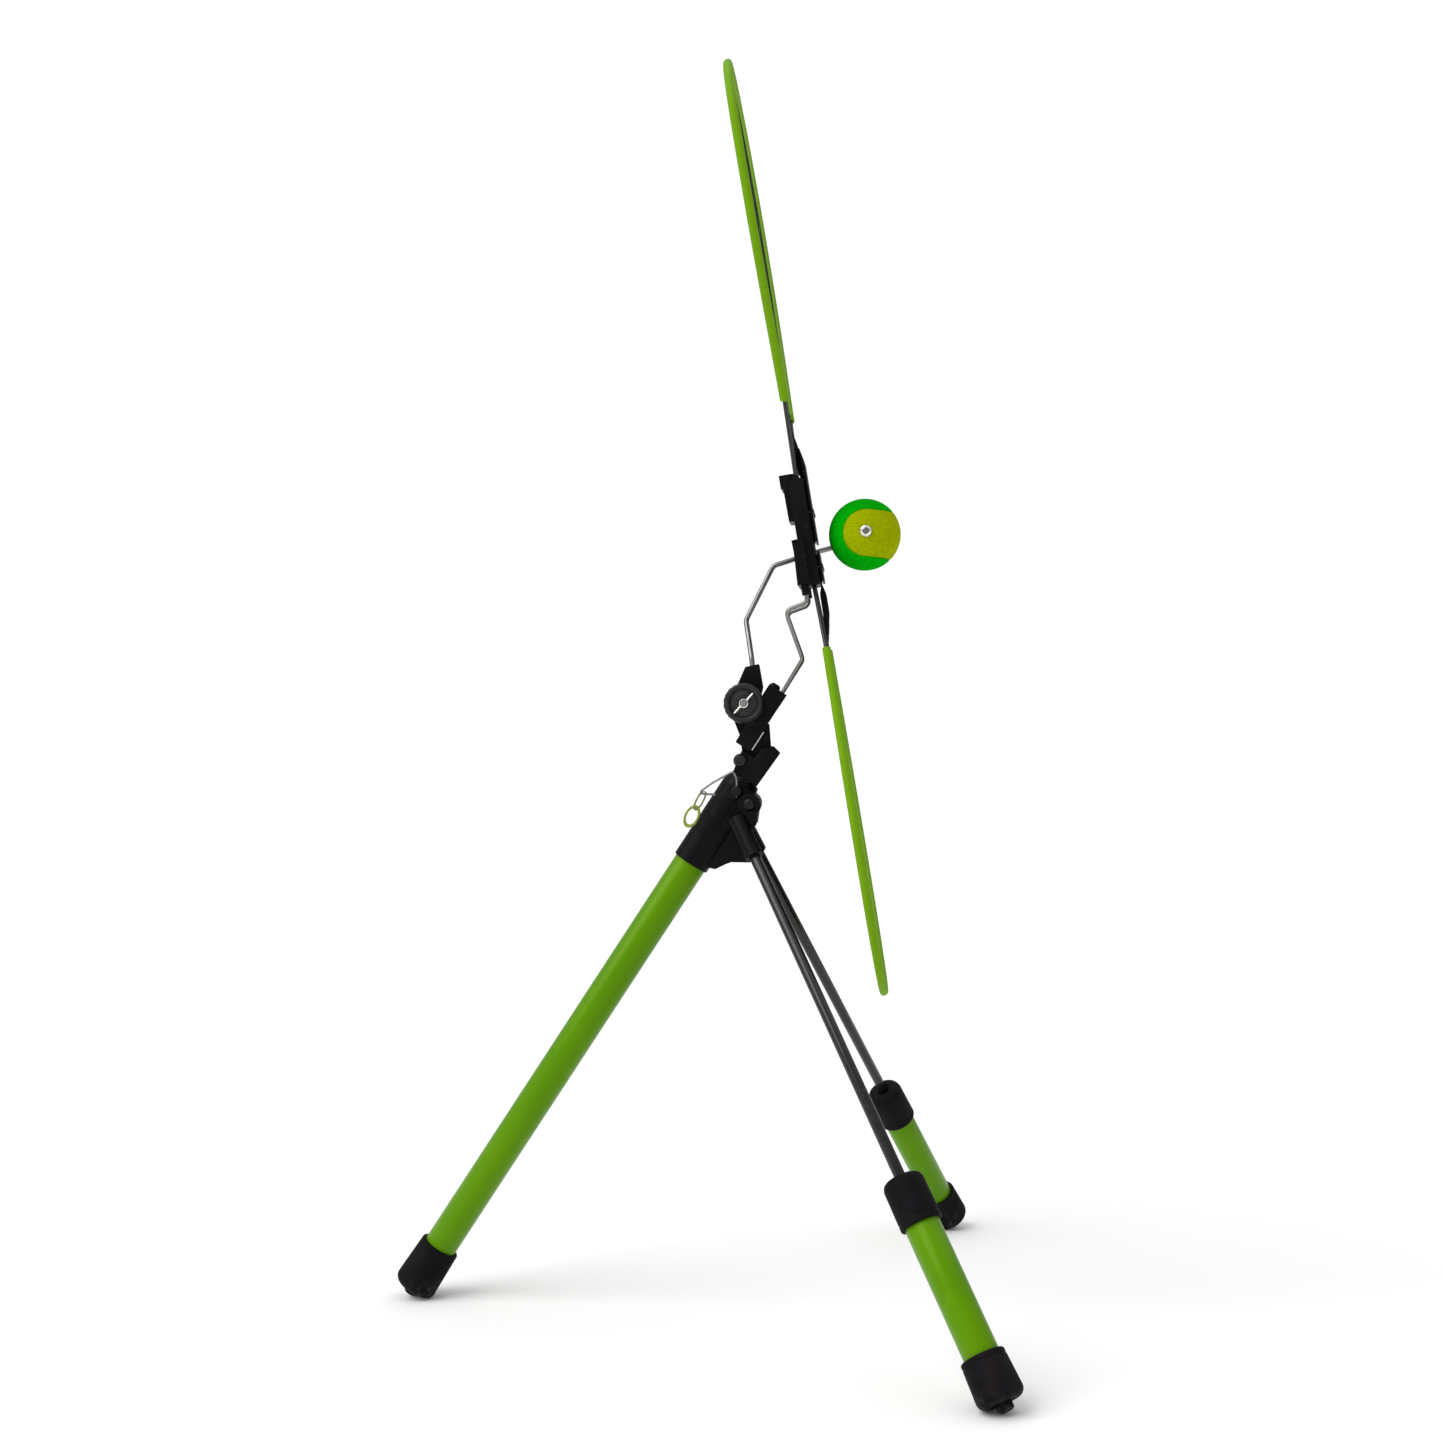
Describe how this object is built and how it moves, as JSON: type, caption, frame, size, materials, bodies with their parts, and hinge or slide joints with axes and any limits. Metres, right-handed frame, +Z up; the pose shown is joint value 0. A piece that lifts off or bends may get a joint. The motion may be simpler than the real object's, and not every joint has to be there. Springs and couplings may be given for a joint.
{
  "type": "tennis stroke trainer",
  "caption": "Folding tripod with weighted rear legs that holds a spinning ball on a bent wire axle in front of a leaning two-loop net screen.",
  "frame": {"origin": "centre of the bounding box's base, on the ground between the three feet", "axes": "+Z up, +X from the long leg towards the rear legs and the ball, +Y to the left; the part is mirrored about Y = 0 apart from the clamps, the ball arm and the lock pin"},
  "size_m": [0.551, 0.5848, 1.1397],
  "materials": {
    "lime_paint": "gloss",
    "lime_webbing": "woven",
    "black_plastic": "satin",
    "black_rubber": "matte",
    "black_paint": "semi-gloss",
    "black_mesh": "mesh",
    "steel": "satin",
    "bright_metal": "bright",
    "aluminium": "satin",
    "green_felt": "felt",
    "ball_rubber": "matte",
    "white_plastic": "satin",
    "olive_plastic": "satin"
  },
  "bodies": {
    "stand": {"main_tube": "lime_paint", "main_foot_cap": "black_rubber", "main_foot_nub": "black_rubber", "post_bush": "white_plastic", "hub": "black_plastic", "leg_pin": "steel"},
    "rear_leg_left": {"leg_socket_left": "black_plastic", "leg_rod_left": "black_paint", "weight_foot_cap_left": "black_rubber", "weight_foot_nub_left": "black_rubber", "weight_tube_left": "lime_paint", "weight_core_left": "steel", "weight_top_cap_left": "black_rubber"},
    "rear_leg_right": {"leg_socket_right": "black_plastic", "leg_rod_right": "black_paint", "weight_foot_cap_right": "black_rubber", "weight_foot_nub_right": "black_rubber", "weight_tube_right": "lime_paint", "weight_core_right": "steel", "weight_top_cap_right": "black_rubber"},
    "post": {"post_tube": "aluminium", "post_plug": "white_plastic", "post_head": "black_plastic", "pinch_bolt": "black_paint", "pinch_nut": "steel", "clamp_bolt": "steel", "clamp_washer": "steel"},
    "knob": {"knob_cup": "black_plastic", "wing_nut": "bright_metal"},
    "ball_arm_unit": {"ball_arm_clamp": "black_plastic", "ball_arm": "steel", "axle_washer": "bright_metal", "axle_push_nut": "bright_metal"},
    "ball": {"ball_core": "ball_rubber", "ball_felt": "green_felt", "ball_bush": "white_plastic"},
    "fork_unit": {"screen_clamp": "black_plastic", "jaw_plate": "bright_metal", "retainer_cap": "black_plastic", "fork_wire_left": "steel", "fork_wire_right": "steel"},
    "screen": {"screen_hub": "black_plastic", "upper_net_plate": "black_plastic", "lower_net_plate": "black_plastic", "upper_plate_screw_left": "black_paint", "upper_plate_screw_right": "black_paint", "lower_plate_screw_left": "black_paint", "lower_plate_screw_right": "black_paint", "upper_pole": "black_paint", "lower_pole": "black_paint", "upper_sleeve": "lime_webbing", "lower_sleeve": "lime_webbing", "upper_net": "black_mesh", "lower_net": "black_mesh"},
    "lock_pin": {"lock_pin": "steel"},
    "pin_clip": {"pin_clip": "steel"},
    "ring": {"split_ring": "steel"},
    "link": {"ring_link": "olive_plastic"}
  },
  "joints": [
    {"name": "rear_leg_left_fold", "type": "hinge", "parent": "stand", "child": "rear_leg_left", "pos_m": [0.0534, 0, 0.4624], "axis": [0, 1, 0], "range_deg": [0, 55]},
    {"name": "rear_leg_right_fold", "type": "hinge", "parent": "stand", "child": "rear_leg_right", "pos_m": [0.0534, 0, 0.4624], "axis": [0, 1, 0], "range_deg": [0, 55]},
    {"name": "post_slide", "type": "slide", "parent": "stand", "child": "post", "axis": [0.5451, 0, 0.8384], "range_m": [0, 0.1]},
    {"name": "knob_turn", "type": "hinge", "parent": "post", "child": "knob", "pos_m": [0.048, 0, 0.5552], "axis": [0, 1, 0], "continuous": true},
    {"name": "ball_arm_tilt", "type": "hinge", "parent": "post", "child": "ball_arm_unit", "pos_m": [0.048, 0, 0.5552], "axis": [0, 1, 0], "range_deg": [-1, 20]},
    {"name": "ball_spin", "type": "hinge", "parent": "ball_arm_unit", "child": "ball", "pos_m": [0.1592, 0, 0.7122], "axis": [0, 1, 0], "continuous": true},
    {"name": "screen_tilt", "type": "hinge", "parent": "post", "child": "fork_unit", "pos_m": [0.048, 0, 0.5552], "axis": [0, 1, 0], "range_deg": [-12, 1.5]},
    {"name": "screen_lift", "type": "slide", "parent": "fork_unit", "child": "screen", "axis": [-0.1657, 0, 0.9862], "range_m": [0, 0.03]},
    {"name": "lock_pin_pull", "type": "slide", "parent": "stand", "child": "lock_pin", "axis": [0, -1, 0], "range_m": [0, 0.045]},
    {"name": "clip_swing", "type": "hinge", "parent": "lock_pin", "child": "pin_clip", "pos_m": [0.04181, -0.0236, 0.47453], "axis": [0, 0, 1], "range_deg": [0, 70]},
    {"name": "ring_swing", "type": "hinge", "parent": "pin_clip", "child": "ring", "pos_m": [0.0122, -0.0236, 0.4743], "axis": [0.2306, 0.9659, -0.1175], "range_deg": [-27, 30]},
    {"name": "link_swing", "type": "hinge", "parent": "ring", "child": "link", "pos_m": [0.00357, -0.0236, 0.45737], "axis": [0.2306, 0.9659, -0.1175], "range_deg": [-30, 30]}
  ]
}
